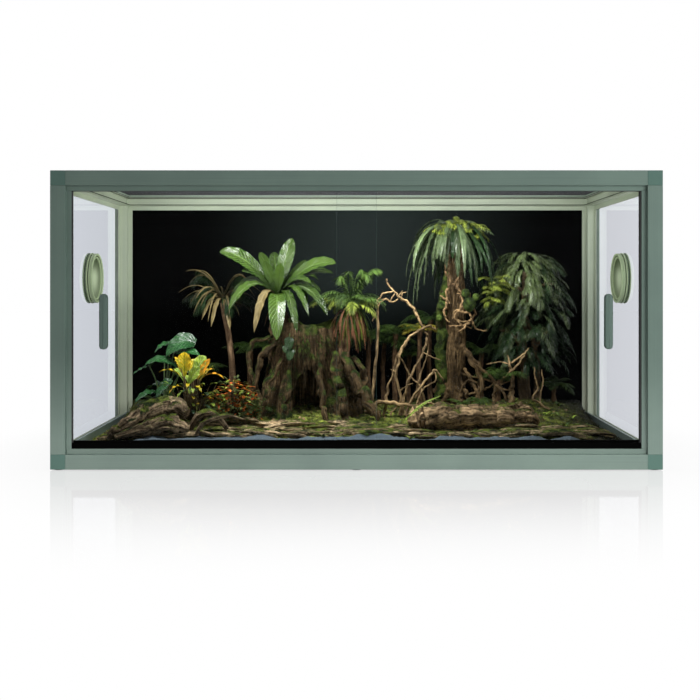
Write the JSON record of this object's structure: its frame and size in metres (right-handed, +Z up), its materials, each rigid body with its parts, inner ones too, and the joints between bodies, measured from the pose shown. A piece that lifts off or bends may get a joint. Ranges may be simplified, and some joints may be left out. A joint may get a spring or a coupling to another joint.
{
  "type": "reptile terrarium",
  "caption": "Planted reptile terrarium: green aluminium frame, bypass sliding glass doors, lift-off mesh lid, closable round vents in the glass ends, planted base tray.",
  "frame": {"origin": "on the floor under the middle of the cabinet, at the bottom centre of its bounding box", "axes": "+X to the right seen from the front, +Y from the glass doors to the rear panel, +Z up"},
  "size_m": [1.22, 0.6, 0.5975],
  "materials": {
    "frame_paint": "satin grey-green powder coat",
    "block_plastic": "satin moulded plastic, more saturated than the tubes",
    "screw_steel": "zinc plated",
    "black_rubber": "matt rubber and foam",
    "clear_glass": "clear float glass with green edges",
    "black_sheet": "black foam PVC sheet",
    "glazing_silicone": "pale translucent glazing strip",
    "tray_plastic": "grey-blue waterproof PVC, semi gloss",
    "track_plastic": "black extruded PVC",
    "vent_plastic": "pale green moulded plastic",
    "mesh_metal": "black coated woven wire",
    "soil": "dark planting soil with moss and leaf litter",
    "bark": "rough cork and driftwood with moss",
    "leaves": "leaf surfaces, semi gloss"
  },
  "bodies": {
    "cabinet": {"bottom_front_rail": "frame_paint", "bottom_rear_rail": "frame_paint", "bottom_left_rail": "frame_paint", "bottom_right_rail": "frame_paint", "top_front_rail": "frame_paint", "top_rear_rail": "frame_paint", "top_left_rail": "frame_paint", "top_right_rail": "frame_paint", "front_left_post": "frame_paint", "front_right_post": "frame_paint", "rear_left_post": "frame_paint", "rear_right_post": "frame_paint", "corner_blocks": "block_plastic", "frame_screws": "screw_steel", "rubber_feet": "black_rubber", "lid_gasket": "black_rubber", "vent_rubber_rings": "black_rubber", "left_side_glass": "clear_glass", "right_side_glass": "clear_glass", "rear_panel": "black_sheet", "floor_panel": "black_sheet", "glazing_strips": "glazing_silicone", "base_tray": "tray_plastic", "lower_door_track": "track_plastic", "upper_door_track": "track_plastic", "door_jamb_seals": "track_plastic", "left_vent_sleeve": "vent_plastic", "left_vent_nut": "vent_plastic", "right_vent_sleeve": "vent_plastic", "right_vent_nut": "vent_plastic", "vent_mesh_discs": "mesh_metal", "substrate_bed": "soil", "cork_stump": "bark", "front_log": "bark", "bark_pieces": "bark", "tall_trunk": "bark", "driftwood_branches": "bark", "small_palm_trunk": "bark", "hanging_fern": "leaves", "birds_nest_fern": "leaves", "small_palm_crown": "leaves", "broadleaf_plant": "leaves", "croton_plant": "leaves", "red_bush": "leaves", "weeping_foliage": "leaves", "small_ferns": "leaves"},
    "left_door": {"left_door_glass": "clear_glass", "left_door_handle": "frame_paint", "left_handle_pad": "black_rubber"},
    "right_door": {"right_door_glass": "clear_glass", "right_door_handle": "frame_paint", "right_handle_pad": "black_rubber"},
    "lid": {"lid_long_bars": "frame_paint", "lid_short_bars": "frame_paint", "lid_corner_keys": "track_plastic", "lid_mesh": "mesh_metal", "lid_spline": "black_rubber"},
    "left_cap": {"left_vent_cap": "vent_plastic"},
    "right_cap": {"right_vent_cap": "vent_plastic"}
  },
  "joints": [
    {"name": "left_door_slide", "type": "slide", "parent": "cabinet", "child": "left_door", "axis": [1, 0, 0], "range_m": [0, 0.455]},
    {"name": "right_door_slide", "type": "slide", "parent": "cabinet", "child": "right_door", "axis": [1, 0, 0], "range_m": [-0.455, 0]},
    {"name": "lid_lift", "type": "slide", "parent": "cabinet", "child": "lid", "axis": [0, 0, 1], "range_m": [0, 0.12]},
    {"name": "left_vent_cap_pull", "type": "slide", "parent": "cabinet", "child": "left_cap", "axis": [1, 0, 0], "range_m": [0, 0.03]},
    {"name": "right_vent_cap_pull", "type": "slide", "parent": "cabinet", "child": "right_cap", "axis": [-1, 0, 0], "range_m": [0, 0.03]}
  ]
}
